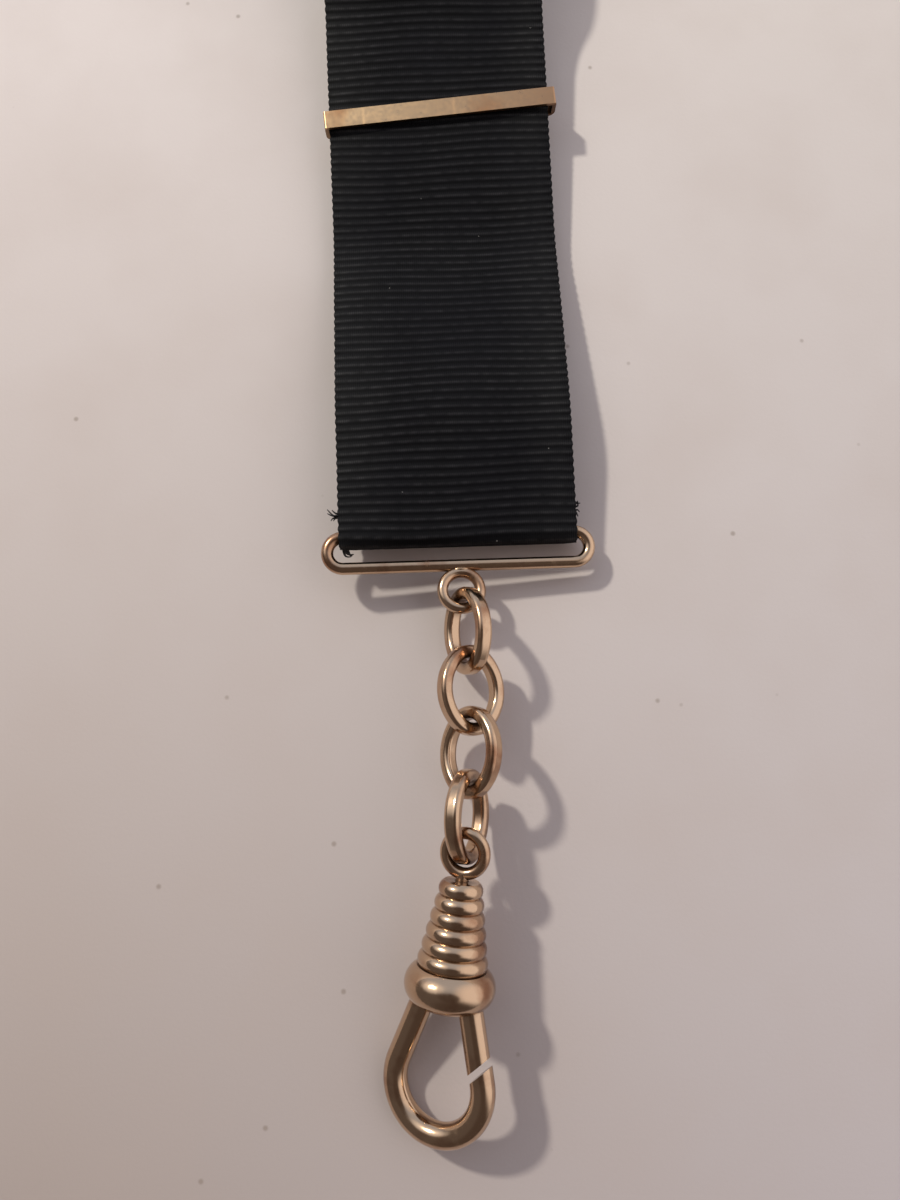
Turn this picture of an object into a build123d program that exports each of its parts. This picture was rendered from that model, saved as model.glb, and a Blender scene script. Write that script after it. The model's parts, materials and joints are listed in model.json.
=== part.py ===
from build123d import *
from math import atan, cos, radians, sin, tan
import os

# A ribbon fob for a pocket watch, lying face up. Millimetres, +Z up from the table, +Y up the
# ribbon away from the watch. Everything is laid out from the middle of the ring's upper bar and
# moved at the end, so that the origin is under the middle of the whole fob.

# Ribbon: one strip, doubled over the ring's upper bar, closed into a loop and lapped behind.
RIBBON_W = 24.0
RIBBON_T = 0.45
FOLD_GAP = 0.2
LANE_START = 33.0        # from here the two layers run side by side
LANE_END = 60.0          # and here they part into the hanging loop
LANE_SLOPE = 0.09
LANE_Z = 1.95            # middle of the front layer at the lane's start
LAYER_PITCH = 0.65
SWELL = (13.0, 4.65)     # the front layer stands highest off the table here
LOOP_PEAK = (69.0, 8.15)
LOOP_END = (84.0, 6.6)
LOOP_R = 3.0
SWELL_R = 30.0           # bends of the strip's middle line
EASY_R = 25.0
PEAK_R = 20.0
FOOT_R = 12.0
LAP_R = 10.0
RAW_END_R = 16.0
FOLD_EASE = 0.03         # keeps a short straight between the fold's two bends
LOOP_FOOT_Y = 71.0
TAB_END = (12.0, 0.85)   # the strip's first end, turned back between the layers
RAW_END_Y = 3.5          # its other end, cut off behind the fold
LAP_PITCH = 0.52
LAP_FOOT_Y = (16.0, 12.5)

# Stitches that hold the lap: closed loops of thread through both layers.
STITCH_Y = 6.4
STITCH_COUNT = 8
STITCH_PITCH = 2.8
STITCH_LEN = 1.7
STITCH_BEND = 0.3
THREAD_R = 0.13

# Keeper: a flat band bent to a slot round both layers.
KEEPER_AT = (0.15, 47.6)
KEEPER_TILT = 4.2        # degrees off square, right end up
KEEPER_BAND = 1.9
KEEPER_WALL = 0.4
KEEPER_SLOT = (24.6, 1.46)
KEEPER_FACE_R = 0.22
KEEPER_BACK_R = 0.75

# Wire ring and the eye soldered under it.
RING_LEN = 27.8
RING_BARS = 3.2          # middle of one bar to middle of the other
RING_WIRE_R = 0.62
RING_Z = 2.8
RING_ROLL = 3.5          # its left end is up
EYE_R = 1.9
EYE_WIRE_R = 0.55
EYE_SINK = 0.4           # the eye is let into the bar this far, and soldered
EYE_LIFT = 8.0           # degrees that its free side stands up from the ring's plane

# Chain links: ovals of flat wire with softened edges.
LINK_LEN = 8.8
LINK_WIDE = 7.3
LINK_THICK = 1.25        # the wire's size in the plane of the oval
LINK_DEEP = 1.55         # and through it
LINK_EDGE_R = 0.5
LINK_END_R = 2.45        # middle of the wire round each end of the oval
LINK_SLACK = 0.36
EYE_SLACK = 0.3
CHAIN_X = 0.25
LINK_YAW = (-3.4, 1.6, 5.1, 6.6)
LINK_PITCH = (-8.5, -3.5, -2.0, -6.0)
LINK_ROLL = (60.0, -33.0, 45.0, -63.0)

# Swivel clasp. In its own frame y runs up the axis to the chain, x to the right and z out of the
# hook's face, from the middle of the bead.
SWIVEL_YAW = 9.4
SWIVEL_PITCH = 7.0
CLASP_ROLL = 25.0
BOW_ROLL = 15.0
BOW_AT = 12.1
BOW_R = 1.85
BOW_WIRE_R = 0.57
BOW_SLACK = 0.45
STEM_R = 0.6
STEM_HEAD_R = 0.9
STEM_HEAD_T = 0.4
WASHER_R = 1.15
WASHER_T = 0.35
END_PLAY = 0.05
FIT = 0.05

BEAD_R = 4.25
BEAD_TOP = 1.77
BEAD_LOW = -1.55
BEAD_TOP_R = 3.3
BEAD_LOW_R = 3.1
BEAD_DOME = 0.35
BEAD_MID_R = 2.07        # a point halfway along the dome under the bead, and the flat at its end
BEAD_MID_DROP = 0.245
BEAD_FLAT_R = 1.03
SPIGOT_R = 2.3
SPIGOT_TOP = 3.3

RIB_COUNT = 6
RIB_PITCH = 1.3
RIB_DEPTH = 0.3
RIB_LOW_R = 3.28
RIB_TOP_R = 2.08
CONE_BORE_R = 1.3
CONE_CAP = 0.75

HOOK_R = 4.45            # middle of the wire round the hook's bowl
HOOK_AT_Y = -8.85
HOOK_WIRE_R = 1.15
ARM_LEAN = 16.9          # degrees that each arm leans out from the axis
HOOK_ROOT_Y = -0.6
MOUTH_Y = -6.5           # height at which the slanting cut crosses the middle of the wire
MOUTH_GAP = 0.65
MOUTH_SLANT = 48.0

PIVOT = (1.9, -0.1)
PIN_R = 0.35
PIN_HALF = 2.6
GATE_OPEN = 30.0
SLOT_ROOM = 0.1
HEEL = (0.15, 1.2)
HEEL_R = 0.42
HEEL_HALF = 1.05         # wide enough to bear on both sides of the spring's last turn
HEEL_RISE = 0.8          # room over the heel for its travel
SPRING_WIRE_R = 0.13
SPRING_R = 0.85
SPRING_TURNS = 7

# Derived sizes.
half_ribbon = RIBBON_W / 2
floor_z = RIBBON_T / 2
fold_r = RING_WIRE_R + FOLD_GAP + RIBBON_T / 2
fold_bend = fold_r - FOLD_EASE
ring_end_r = RING_BARS / 2
ring_straight = RING_LEN - 2 * RING_WIRE_R - RING_BARS
eye_reach = RING_WIRE_R + EYE_WIRE_R + EYE_R - EYE_SINK
link_hole = LINK_LEN / 2 - LINK_THICK
link_long = (LINK_LEN - LINK_THICK) / 2
link_broad = (LINK_WIDE - LINK_THICK) / 2
link_end_y = link_long - LINK_END_R
link_side_r = (link_broad**2 + link_end_y**2 - LINK_END_R**2) / (2 * (link_broad - LINK_END_R))
cone_top = BEAD_TOP + RIB_COUNT * RIB_PITCH
cap_low = cone_top - CONE_CAP
washer_low = cap_low - END_PLAY - WASHER_T
stem_end = washer_low - STEM_HEAD_T
heel_top = HEEL[1] + HEEL_R
slot_reach = BEAD_R + SLOT_ROOM
arm_out = Vector(sin(radians(ARM_LEAN)), -cos(radians(ARM_LEAN)), 0)
pivot = Vector(*PIVOT, 0)


def bar_z(x):
    """Height of the middle of the ring's upper bar at x."""
    return RING_Z - x * tan(radians(RING_ROLL))


def lane_z(y, back=False):
    """Height of a layer's middle where the two run side by side."""
    return LANE_Z - (LAYER_PITCH if back else 0) + LANE_SLOPE * (y - LANE_START)


def tab_z(x, y):
    """Height of the turned-back end's middle, between its tip and the fold."""
    fold_low = bar_z(x) - fold_r
    slope = (TAB_END[1] - fold_low) / (TAB_END[0] + fold_r)
    return TAB_END[1] - slope * (TAB_END[0] - y)


def strip_path(x):
    """Middle line of the strip in the plane at x: its corners (y, z), and the radii between."""
    corners = [
        TAB_END,
        (-fold_r, bar_z(x) - fold_r),
        (-fold_r, bar_z(x) + fold_r),
        SWELL,
        (LANE_START, lane_z(LANE_START)),
        (LANE_END, lane_z(LANE_END)),
        LOOP_PEAK,
        LOOP_END,
        (LOOP_END[0], floor_z),
        (LOOP_FOOT_Y, floor_z),
        (LANE_END, lane_z(LANE_END, back=True)),
        (LANE_START, lane_z(LANE_START, back=True)),
        (LAP_FOOT_Y[0], floor_z),
        (LAP_FOOT_Y[1], floor_z),
        (RAW_END_Y, tab_z(x, RAW_END_Y) - LAP_PITCH),
    ]
    radii = [fold_bend, fold_bend, SWELL_R, PEAK_R, EASY_R, PEAK_R, LOOP_R, LOOP_R]
    radii += [FOOT_R, FOOT_R, FOOT_R, LAP_R, RAW_END_R]
    return [Vector(0, y, z) for y, z in corners], radii


def beside(points, radii, gap):
    """The same path moved to its left by gap, with its bends tighter or wider to suit."""
    runs = [(b - a).normalized() for a, b in zip(points, points[1:])]
    moved = []
    for i, point in enumerate(points):
        before = runs[max(i - 1, 0)]
        after = runs[min(i, len(runs) - 1)]
        middle = (before + after).normalized()
        left = Vector(0, -middle.Z, middle.Y)
        moved.append(point + left * (gap / middle.dot(after)))
    bends = []
    for before, after, radius in zip(runs, runs[1:], radii):
        turns_left = before.cross(after).X > 0
        bends.append(radius - gap if turns_left else radius + gap)
    return moved, bends


def strip_outline(x):
    """Edge of the ribbon as seen from the side, in the plane at x."""
    points, radii = strip_path(x)
    over, over_bends = beside(points, radii, RIBBON_T / 2)
    under, under_bends = beside(points, radii, -RIBBON_T / 2)
    first = FilletPolyline(*over, radius=over_bends)
    second = FilletPolyline(*under, radius=under_bends)
    ends = [Line(over[-1], under[-1]), Line(under[0], over[0])]
    outline = Wire(first.edges() + second.edges() + ends)
    return Pos(x, 0, 0) * outline


def ribbon():
    """One strip, whose left edge lies higher at the ring than its right edge."""
    return Solid.make_loft([strip_outline(-half_ribbon), strip_outline(half_ribbon)], ruled=True)


def end_stitches():
    """A row of thread loops through the two lapped layers."""
    loops = []
    for i in range(STITCH_COUNT):
        x = (i - (STITCH_COUNT - 1) / 2) * STITCH_PITCH
        top = tab_z(x, STITCH_Y) + RIBBON_T / 2
        low = tab_z(x, STITCH_Y) - LAP_PITCH - RIBBON_T / 2 + THREAD_R
        middle = Plane(origin=(x, STITCH_Y, (top + low) / 2), z_dir=(0, 1, 0), x_dir=(1, 0, 0))
        path = Wire((middle * RectangleRounded(STITCH_LEN, top - low, STITCH_BEND)).edges())
        section = Plane(origin=path @ 0, z_dir=path % 0) * Circle(THREAD_R)
        loops.append(sweep(section, path=path))
    return Compound(loops)


def lane_direction():
    lean = atan(LANE_SLOPE)
    return Vector(0, cos(lean), sin(lean))


def slide_keeper():
    """The band, bent to a slot and pushed a little askew on the ribbon."""
    tilt = radians(KEEPER_TILT)
    up_lane = lane_direction()
    across = Vector(1, 0, 0) * cos(tilt) + up_lane * sin(tilt)
    along = up_lane * cos(tilt) - Vector(1, 0, 0) * sin(tilt)
    x, y = KEEPER_AT
    middle = Vector(x, y, lane_z(y) - LAYER_PITCH / 2)
    wide, high = [size + 2 * KEEPER_WALL for size in KEEPER_SLOT]
    outside = Rectangle(wide, high)
    outside = fillet(outside.vertices().group_by(Axis.Y)[-1], KEEPER_FACE_R)
    outside = fillet(outside.vertices().group_by(Axis.Y)[0], KEEPER_BACK_R)
    band = outside - Rectangle(*KEEPER_SLOT)
    frame = Plane(origin=middle, x_dir=across, z_dir=-along)
    return extrude(frame * band, amount=KEEPER_BAND / 2, both=True)


def oval(straight, end_r, thick, deep):
    """A closed oval of wire in the XY plane, long in Y; thick in the plane and deep through it."""
    side = Line((end_r, 0), (end_r, straight / 2))
    bend = ThreePointArc(side @ 1, (0, straight / 2 + end_r), (-end_r, straight / 2))
    other = Line(bend @ 1, (-end_r, 0))
    section = Plane(origin=side @ 0, x_dir=(1, 0, 0), z_dir=(0, 1, 0)) * Ellipse(thick / 2, deep / 2)
    half = sweep(section, path=Wire([side, bend, other]))
    return half + mirror(half, about=Plane.XZ)


def ring_frame():
    """Plane of the ring, from the middle of its upper bar."""
    return Plane(origin=(0, 0, RING_Z), x_dir=(1, 0, 0), z_dir=(0, 0, 1)).rotated((0, RING_ROLL, 0))


def wire_ring():
    """The long oval ring; its upper bar is in the ribbon's fold."""
    ring = oval(ring_straight, ring_end_r, 2 * RING_WIRE_R, 2 * RING_WIRE_R)
    return ring_frame() * Pos(0, -RING_BARS / 2, 0) * Rot(0, 0, 90) * ring


def ring_eye():
    """A round eye soldered to the ring's lower bar, its free side a little up."""
    place = ring_frame() * Pos(0, -RING_BARS, 0) * Rot(-EYE_LIFT, 0, 0) * Pos(0, -eye_reach, 0)
    bar = ring_frame() * Pos(0, -RING_BARS, 0) * Rot(0, 90, 0) * Cylinder(RING_WIRE_R, 4 * EYE_R)
    return place * Torus(EYE_R, EYE_WIRE_R) - bar


def eye_end():
    """Middle of the eye's wire at its free side, where the chain hangs."""
    reach = eye_reach + EYE_R
    lift = radians(EYE_LIFT)
    return Vector(CHAIN_X, -RING_BARS - reach * cos(lift), RING_Z + reach * sin(lift))


def direction(yaw, pitch):
    """Unit vector up the chain: yaw turns it to the right, pitch lifts it."""
    turn, lift = radians(yaw), radians(pitch)
    return Vector(sin(turn) * cos(lift), cos(turn) * cos(lift), sin(lift))


def lying_frame(origin, yaw, pitch, roll):
    """Plane with y up the chain and x across, whose right side is raised by roll."""
    up_chain = direction(yaw, pitch)
    level = Vector(cos(radians(yaw)), -sin(radians(yaw)), 0)
    lifted = level.cross(up_chain)
    across = level * cos(radians(roll)) + lifted * sin(radians(roll))
    return Plane(origin=origin, x_dir=across, z_dir=across.cross(up_chain))


def chain_frames():
    """The links' own planes, each from the middle of its oval, hooked one into the next."""
    frames = []
    hooked = eye_end() + direction(LINK_YAW[0], LINK_PITCH[0]) * (EYE_WIRE_R + EYE_SLACK)
    for yaw, pitch, roll in zip(LINK_YAW, LINK_PITCH, LINK_ROLL):
        along = direction(yaw, pitch)
        middle = hooked - along * link_hole
        frames.append(lying_frame(middle, yaw, pitch, roll))
        hooked = middle - along * (link_hole - LINK_SLACK)
    return frames


def chain_link(frame):
    """One oval link: two easy side arcs and two tighter end arcs that run into them."""
    side_at = Vector(link_broad - link_side_r, 0)
    toward = (Vector(0, link_end_y) - side_at).normalized()
    meet = side_at + toward * link_side_r
    half_side = (Vector(1, 0) + toward).normalized() * link_side_r + side_at
    side = ThreePointArc((link_broad, 0), half_side, meet)
    bend = ThreePointArc(meet, (0, link_long), (-meet.X, meet.Y))
    other = ThreePointArc((-meet.X, meet.Y), (-half_side.X, half_side.Y), (-link_broad, 0))
    start = Plane(origin=side @ 0, x_dir=(1, 0, 0), z_dir=(0, 1, 0))
    section = start * RectangleRounded(LINK_THICK, LINK_DEEP, LINK_EDGE_R)
    half = sweep(section, path=Wire([side, bend, other]))
    return frame * (half + mirror(half, about=Plane.XZ))


def swivel_origin():
    """Middle of the bead: it lies on the table, and its bow goes round the last link's end."""
    last = chain_frames()[-1]
    low = last.origin - last.y_dir * link_long
    along = direction(SWIVEL_YAW, SWIVEL_PITCH)
    reach = along * (BOW_AT - BOW_SLACK)
    return Vector(low.X - reach.X, low.Y - reach.Y, BEAD_R)


def clasp_frame():
    return lying_frame(swivel_origin(), SWIVEL_YAW, SWIVEL_PITCH, CLASP_ROLL)


def bow_frame():
    return lying_frame(swivel_origin(), SWIVEL_YAW, SWIVEL_PITCH, BOW_ROLL)


def post(radius, low, high):
    """A round post along y, from one height to another."""
    return Pos(0, (low + high) / 2, 0) * Rot(-90, 0, 0) * Cylinder(radius, high - low)


def swivel_eye():
    """The bow and its stem, which turns in the cone's top and is riveted over the washer."""
    bow = Pos(0, BOW_AT, 0) * Torus(BOW_R, BOW_WIRE_R)
    stem = post(STEM_R, washer_low - STEM_HEAD_T / 2, BOW_AT - BOW_R)
    head = post(STEM_HEAD_R, stem_end, washer_low)
    return bow_frame() * (bow + stem + head)


def stem_washer():
    """The washer between the stem's riveted head and the cone's top wall."""
    disc = post(WASHER_R, washer_low, washer_low + WASHER_T)
    hole = post(STEM_R, washer_low, washer_low + WASHER_T)
    return bow_frame() * (disc - hole)


def rib_r(y):
    """Radius of the cone over its ribs."""
    first = BEAD_TOP + RIB_PITCH / 2
    last = cone_top - RIB_PITCH / 2
    return RIB_LOW_R + (RIB_TOP_R - RIB_LOW_R) * (y - first) / (last - first)


def ribbed_cone():
    """The hollow tapering barrel."""
    edges = []
    for i in range(RIB_COUNT):
        low = BEAD_TOP + i * RIB_PITCH
        middle, high = low + RIB_PITCH / 2, low + RIB_PITCH
        foot = (rib_r(low) - RIB_DEPTH, low)
        shoulder = (rib_r(high) - RIB_DEPTH, high)
        edges.append(ThreePointArc(foot, (rib_r(middle), middle), shoulder))
    inside = [
        edges[-1] @ 1,
        (STEM_R + FIT, cone_top),
        (STEM_R + FIT, cap_low),
        (CONE_BORE_R, cap_low),
        (CONE_BORE_R, SPIGOT_TOP),
        (SPIGOT_R, SPIGOT_TOP),
        (SPIGOT_R, BEAD_TOP),
        edges[0] @ 0,
    ]
    section = make_face(edges + [Polyline(*inside)])
    return clasp_frame() * revolve(section, Axis.Y)


def arm_from(point, length, radius):
    """A round bar from a point down the gate's line."""
    frame = Plane(origin=point, z_dir=arm_out)
    return frame * Pos(0, 0, length / 2) * Cylinder(radius, length)


def gate_slot():
    """Room in the bead for the gate's hub and for its arm from shut to open."""
    room = HOOK_WIRE_R + SLOT_ROOM
    shut = ARM_LEAN
    opened = ARM_LEAN - GATE_OPEN
    outline = [pivot]
    for angle, side in ((shut, 1), (opened, -1)):
        down = Vector(sin(radians(angle)), -cos(radians(angle)), 0)
        out = Vector(-down.Y, down.X, 0) * side
        flank = [pivot + out * room, pivot + out * room + down * slot_reach]
        outline += flank if side > 0 else flank[::-1]
    fan = make_face(Polyline(*outline, close=True))
    hub = Pos(pivot.X, pivot.Y, 0) * Circle(room)
    return extrude(fan + hub, amount=room, both=True)


def heel_chamber():
    """Room for the heel between the hub and the spring."""
    low, high = PIVOT[1], heel_top + HEEL_RISE
    left, right = HEEL[0] - 2 * HEEL_R, PIVOT[0] + HOOK_WIRE_R / 2
    room = Pos((left + right) / 2, (low + high) / 2, 0)
    return room * Box(right - left, high - low, 2 * (HEEL_HALF + SLOT_ROOM))


def hook_wire():
    """The hook's wire before its cut: root, straight arm, bowl, and the tip's straight end."""
    lean = radians(ARM_LEAN)
    left = (-HOOK_R * cos(lean), HOOK_AT_Y + HOOK_R * sin(lean))
    right = (-left[0], left[1])
    root = (left[0] + (HOOK_ROOT_Y - left[1]) * tan(lean), HOOK_ROOT_Y)
    tip = (right[0] - (MOUTH_Y + HOOK_WIRE_R - right[1]) * tan(lean), MOUTH_Y + HOOK_WIRE_R)
    arm = Line(root, left)
    bowl = ThreePointArc(left, (0, HOOK_AT_Y - HOOK_R), right)
    end = Line(right, tip)
    section = Plane(origin=arm @ 0, z_dir=arm % 0) * Circle(HOOK_WIRE_R)
    return sweep(section, path=Wire([arm, bowl, end]))


def mouth_cutter(side):
    """All that lies past the slanting gap: above it where side is 1, below it where -1."""
    middle_x = PIVOT[0] - (MOUTH_Y - PIVOT[1]) * tan(radians(ARM_LEAN))
    size = 4 * HOOK_WIRE_R
    block = Pos(0, side * (size - MOUTH_GAP) / 2, 0) * Box(size, size, size)
    return Pos(middle_x, MOUTH_Y, 0) * Rot(0, 0, MOUTH_SLANT) * block


def hook_arm():
    """The hook, cut off on a slant where the gate meets it."""
    return clasp_frame() * (hook_wire() - mouth_cutter(1))


def bead_collar():
    """The bead, with its spigot, the gate's slot and the holes for the hook and the pin."""
    flank = ThreePointArc((BEAD_TOP_R, BEAD_TOP), (BEAD_R, 0), (BEAD_LOW_R, BEAD_LOW))
    flat_edge = (BEAD_FLAT_R, BEAD_LOW - BEAD_DOME)
    dome = ThreePointArc(flank @ 1, (BEAD_MID_R, BEAD_LOW - BEAD_MID_DROP), flat_edge)
    inside = Polyline(
        dome @ 1,
        (0, BEAD_LOW - BEAD_DOME),
        (0, SPIGOT_TOP),
        (SPIGOT_R, SPIGOT_TOP),
        (SPIGOT_R, BEAD_TOP),
        flank @ 0,
    )
    bead = revolve(make_face([flank, dome, inside]), Axis.Y)
    bead -= post(CONE_BORE_R, heel_top, SPIGOT_TOP)
    bead -= gate_slot()
    bead -= heel_chamber()
    bead -= hook_wire()
    bead -= Pos(pivot.X, pivot.Y, 0) * Cylinder(PIN_R, 2 * PIN_HALF)
    return clasp_frame() * bead


def gate_arm():
    """The gate: a round arm with its hub on the pin and a heel behind it."""
    reach = (PIVOT[1] - MOUTH_Y) / cos(radians(ARM_LEAN)) + HOOK_WIRE_R
    arm = arm_from(pivot, reach, HOOK_WIRE_R) - mouth_cutter(-1)
    hub = Pos(pivot.X, pivot.Y, 0) * Cylinder(HOOK_WIRE_R, 2 * HOOK_WIRE_R)
    heel_ends = [Pos(x, y, 0) * Circle(HEEL_R) for x, y in (HEEL, PIVOT)]
    heel = make_hull([edge for end in heel_ends for edge in end.edges()])
    gate = arm + hub + extrude(heel, amount=HEEL_HALF, both=True)
    gate -= Pos(pivot.X, pivot.Y, 0) * Cylinder(PIN_R + FIT, 2 * PIN_HALF)
    return clasp_frame() * gate


def gate_pin():
    """The pin across the bead, on which the gate turns."""
    return clasp_frame() * Pos(pivot.X, pivot.Y, 0) * Cylinder(PIN_R, 2 * PIN_HALF)


def gate_spring():
    """The coil spring, from the gate's heel up to the stem's head."""
    low = heel_top + SPRING_WIRE_R + 2 * FIT
    high = stem_end - SPRING_WIRE_R - 2 * FIT
    coil = Helix(pitch=(high - low) / SPRING_TURNS, height=high - low, radius=SPRING_R)
    section = Plane(origin=coil @ 0, z_dir=coil % 0) * Circle(SPRING_WIRE_R)
    wire = sweep(section, path=coil, is_frenet=True)
    return clasp_frame() * Pos(0, low, 0) * Rot(-90, 0, 0) * wire


def main():
    pieces = {
        "ribbon": ribbon(),
        "end_stitches": end_stitches(),
        "slide_keeper": slide_keeper(),
        "wire_ring": wire_ring(),
        "ring_eye": ring_eye(),
        "swivel_eye": swivel_eye(),
        "stem_washer": stem_washer(),
        "ribbed_cone": ribbed_cone(),
        "bead_collar": bead_collar(),
        "hook_arm": hook_arm(),
        "gate_arm": gate_arm(),
        "gate_pin": gate_pin(),
        "gate_spring": gate_spring(),
    }
    for i, frame in enumerate(chain_frames()):
        pieces[f"chain_link_{i + 1}"] = chain_link(frame)
    middle = Compound(list(pieces.values())).bounding_box().center()
    os.makedirs("parts", exist_ok=True)
    for name, piece in pieces.items():
        export_step(Pos(-middle.X, -middle.Y, 0) * piece, f"parts/{name}.step")


if __name__ == "__main__":
    main()
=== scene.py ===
# %% [markdown]
# # A ribbon fob for a pocket watch
# The part comes from the CAD side with its joints and its real size. This script dresses it: a
# woven ribbon in place of the plain strip, worn gilt metal, a sheet of paper to lie on, soft
# window light and a camera. Everything is in metres, in the same frame as the CAD part.

# %% Load the frame
import json
from math import atan2, cos, pi, radians, sin, tan

import bmesh
import bpy
import numpy as np
from mathutils import Matrix, Vector

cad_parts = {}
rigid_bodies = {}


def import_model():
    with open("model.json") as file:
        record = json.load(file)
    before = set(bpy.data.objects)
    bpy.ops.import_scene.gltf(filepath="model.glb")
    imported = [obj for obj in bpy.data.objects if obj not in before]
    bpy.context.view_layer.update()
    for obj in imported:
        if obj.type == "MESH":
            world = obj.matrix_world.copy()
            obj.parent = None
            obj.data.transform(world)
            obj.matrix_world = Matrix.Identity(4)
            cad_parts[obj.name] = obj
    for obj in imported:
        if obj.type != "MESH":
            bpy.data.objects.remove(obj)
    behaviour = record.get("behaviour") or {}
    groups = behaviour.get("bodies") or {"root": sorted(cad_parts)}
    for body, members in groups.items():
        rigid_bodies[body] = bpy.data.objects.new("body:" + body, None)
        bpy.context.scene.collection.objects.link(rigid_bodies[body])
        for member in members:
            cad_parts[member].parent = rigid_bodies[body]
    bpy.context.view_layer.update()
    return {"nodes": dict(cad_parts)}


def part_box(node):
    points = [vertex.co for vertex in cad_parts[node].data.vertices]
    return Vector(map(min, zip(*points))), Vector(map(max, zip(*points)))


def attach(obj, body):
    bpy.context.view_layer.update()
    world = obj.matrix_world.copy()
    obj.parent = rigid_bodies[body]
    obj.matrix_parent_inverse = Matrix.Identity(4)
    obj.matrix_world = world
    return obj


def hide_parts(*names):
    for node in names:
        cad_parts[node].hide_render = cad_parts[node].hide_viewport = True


for leftover in list(bpy.data.objects):
    bpy.data.objects.remove(leftover)
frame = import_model()
nodes = frame["nodes"]

# %% [markdown]
# The CAD part was laid out from the middle of the ring's upper bar and then moved so that its
# origin is under its middle. The same move is worked out here from the ring's box, so that the
# values below can be the CAD's own values.

# %% The layout's origin
MM = 0.001
RING_WIRE_R = 0.62 * MM

ring_low, ring_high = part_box("wire_ring")
bar_y = ring_high.y - RING_WIRE_R
print("the ring's upper bar lies at y =", round(bar_y / MM, 3), "mm")

# %% [markdown]
# ## Object helpers
# Blender keeps a shape apart from the object that places it in the scene. A bmesh is the
# workbench on which a shape is made. These helpers take a finished shape off the workbench, and
# put it into the scene.

# %% Object helpers
def finished_mesh(bm, name, smooth=False):
    """The mesh that a bmesh has made, which frees the bmesh."""
    for face in bm.faces:
        face.smooth = smooth
    mesh = bpy.data.meshes.new(name)
    bm.to_mesh(mesh)
    bm.free()
    return mesh


def new_object(name, data):
    """An object in the scene that shows a mesh, a curve, a lamp or a camera."""
    made = bpy.data.objects.new(name, data)
    bpy.context.scene.collection.objects.link(made)
    return made


# %% [markdown]
# ## Camera
# The photograph was taken by hand from above and a little below the middle, with a short lens,
# so that the near parts look wider than the far ones. Two angles turn the view: how far the lens
# looks up the ribbon, and how far the whole fob leans in the picture.

# %% Camera
CAMERA_AT = Vector((-1.85, bar_y / MM - 21.8, 91.66)) * MM
LOOK_UP = radians(9.65)
LEAN = radians(2.57)
LENS = 27.0
SENSOR_WIDTH = 36.0
NEAREST_SEEN = 1 * MM
FARTHEST_SEEN = 10.0

camera_data = bpy.data.cameras.new("camera")
camera_data.lens = LENS
camera_data.sensor_width = SENSOR_WIDTH
camera_data.clip_start = NEAREST_SEEN
camera_data.clip_end = FARTHEST_SEEN
camera = new_object("camera", camera_data)
bpy.context.scene.camera = camera

forward = Vector((sin(LEAN) * sin(LOOK_UP), cos(LEAN) * sin(LOOK_UP), -cos(LOOK_UP)))
up = Vector((sin(LEAN) * cos(LOOK_UP), cos(LEAN) * cos(LOOK_UP), sin(LOOK_UP)))
turn = Matrix((forward.cross(up), up, -forward)).transposed().to_4x4()
camera.matrix_world = Matrix.Translation(CAMERA_AT) @ turn
print("camera looks along", [round(value, 3) for value in forward])

# %% [markdown]
# ## Node helpers
# A material is a small network of nodes. These helpers add a node and fill its sockets in one
# call: a socket takes a number, a colour, or the output of another node.

# %% Node helpers
MIX_FACTOR, MIX_FIRST, MIX_SECOND, MIX_RESULT = 0, 6, 7, 2    # a Mix node's colour sockets


def fill(tree, socket, value):
    """Gives a socket a value, or a link from another node's output."""
    if isinstance(value, bpy.types.NodeSocket):
        tree.links.new(value, socket)
    else:
        socket.default_value = value


def add(tree, kind, inputs=None, **settings):
    """Adds a shader node and fills its sockets."""
    made = tree.nodes.new("ShaderNode" + kind)
    for name, value in settings.items():
        setattr(made, name, value)
    for socket, value in (inputs or {}).items():
        fill(tree, made.inputs[socket], value)
    return made


def blended(tree, factor, first, second):
    """A colour between two others."""
    mixer = add(tree, "Mix", data_type="RGBA")
    for index, value in ((MIX_FACTOR, factor), (MIX_FIRST, first), (MIX_SECOND, second)):
        fill(tree, mixer.inputs[index], value)
    return mixer.outputs[MIX_RESULT]


def ranged(tree, value, low, high, to_low=0.0, to_high=1.0, smooth=False):
    """A value from one range laid onto another, and held at its ends."""
    kind = "SMOOTHSTEP" if smooth else "LINEAR"
    inputs = {"Value": value, "From Min": low, "From Max": high}
    inputs |= {"To Min": to_low, "To Max": to_high}
    return add(tree, "MapRange", inputs, interpolation_type=kind).outputs["Result"]


def combined(tree, operation, first, second=0.0):
    """Two values added, multiplied, or whatever the operation says."""
    return add(tree, "Math", {0: first, 1: second}, operation=operation).outputs[0]


def noise(tree, place, scale, detail):
    """Soft random patches over a surface, from 0 to 1."""
    inputs = {"Vector": place, "Scale": scale, "Detail": detail}
    return add(tree, "TexNoise", inputs).outputs["Fac"]


def speck_distance(tree, place, scale):
    """How far a place is from the nearest of many scattered points."""
    return add(tree, "TexVoronoi", {"Vector": place, "Scale": scale}).outputs["Distance"]


def object_place(tree):
    """Where a point of the surface lies on the object."""
    return add(tree, "TexCoord").outputs["Object"]


def srgb(red, green, blue):
    """A colour as a picture shows it, 0 to 255, turned into the light values that nodes use."""
    values = [channel / 255 for channel in (red, green, blue)]
    linear = [v / 12.92 if v < 0.04045 else ((v + 0.055) / 1.055) ** 2.4 for v in values]
    return (*linear, 1.0)


# %% [markdown]
# Every material here has one Principled shader. A number that is the same all over the piece is
# set on the shader's own socket, and only what changes over the surface comes from other nodes.

# %% Material helpers
def first_node(tree, kind):
    """The first node of its kind in a tree."""
    return next(node for node in tree.nodes if node.type == kind)


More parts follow.
